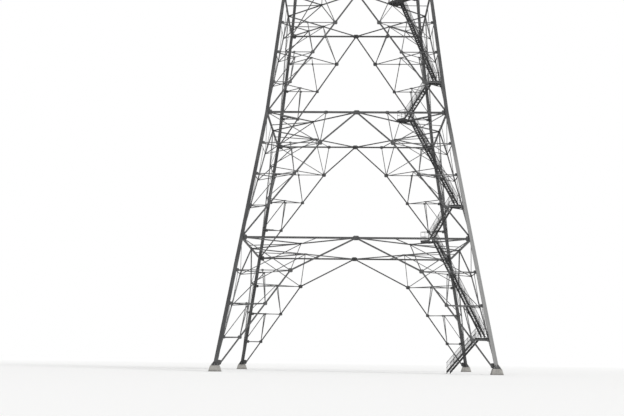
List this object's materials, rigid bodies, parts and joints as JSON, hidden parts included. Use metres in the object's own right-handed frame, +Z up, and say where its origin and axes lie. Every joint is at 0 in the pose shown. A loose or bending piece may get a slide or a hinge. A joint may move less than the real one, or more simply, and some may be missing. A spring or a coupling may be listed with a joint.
{
  "type": "four-legged lattice radio mast, 1:10 scale model",
  "caption": "Tapering square lattice radio mast on four legs, with K-braced faces, a zig-zag stair in one corner, a top platform and a plain antenna pole.",
  "frame": {"origin": "on the ground at the middle of the four footings", "axes": "+Z up, front face towards -Y, stair in the corner of +X and -Y"},
  "size_m": [2.8882, 2.8882, 13.264],
  "materials": {
    "leg_steel": "weathered grey paint on steel",
    "lattice_steel": "weathered grey paint on steel",
    "walkway_steel": "dark worn paint on steel",
    "pole_steel": "dull galvanised steel",
    "concrete": "cast concrete"
  },
  "bodies": {
    "root": {"antenna_pole": "pole_steel", "base_plates": "leg_steel", "corner_bracing_bay_1": "lattice_steel", "corner_bracing_bay_2": "lattice_steel", "corner_bracing_bay_3": "lattice_steel", "footings": "concrete", "front_bracing_bay_1": "lattice_steel", "front_bracing_bay_2": "lattice_steel", "front_bracing_bay_3": "lattice_steel", "front_bracing_bays_4_to_6": "lattice_steel", "front_bracing_bays_7_to_9": "lattice_steel", "ladder": "walkway_steel", "left_bracing_bay_1": "lattice_steel", "left_bracing_bay_2": "lattice_steel", "left_bracing_bay_3": "lattice_steel", "left_bracing_bays_4_to_6": "lattice_steel", "left_bracing_bays_7_to_9": "lattice_steel", "leg_front_left": "leg_steel", "leg_front_right": "leg_steel", "leg_rear_left": "leg_steel", "leg_rear_right": "leg_steel", "plan_bracing_belt_1": "lattice_steel", "plan_bracing_belt_2": "lattice_steel", "plan_bracing_belt_3": "lattice_steel", "plan_bracing_upper_belts": "lattice_steel", "platform_deck": "walkway_steel", "platform_frame": "walkway_steel", "platform_guard_rail": "walkway_steel", "rear_bracing_bay_1": "lattice_steel", "rear_bracing_bay_2": "lattice_steel", "rear_bracing_bay_3": "lattice_steel", "rear_bracing_bays_4_to_6": "lattice_steel", "rear_bracing_bays_7_to_9": "lattice_steel", "right_bracing_bay_1": "lattice_steel", "right_bracing_bay_2": "lattice_steel", "right_bracing_bay_3": "lattice_steel", "right_bracing_bays_4_to_6": "lattice_steel", "right_bracing_bays_7_to_9": "lattice_steel", "stair_landings": "walkway_steel", "stair_long_flight_bay_1": "walkway_steel", "stair_long_flight_bay_2": "walkway_steel", "stair_long_flight_bay_3": "walkway_steel", "stair_short_flight_bay_1": "walkway_steel", "stair_short_flight_bay_2": "walkway_steel", "stair_short_flight_bay_3": "walkway_steel"}
  },
  "joints": []
}
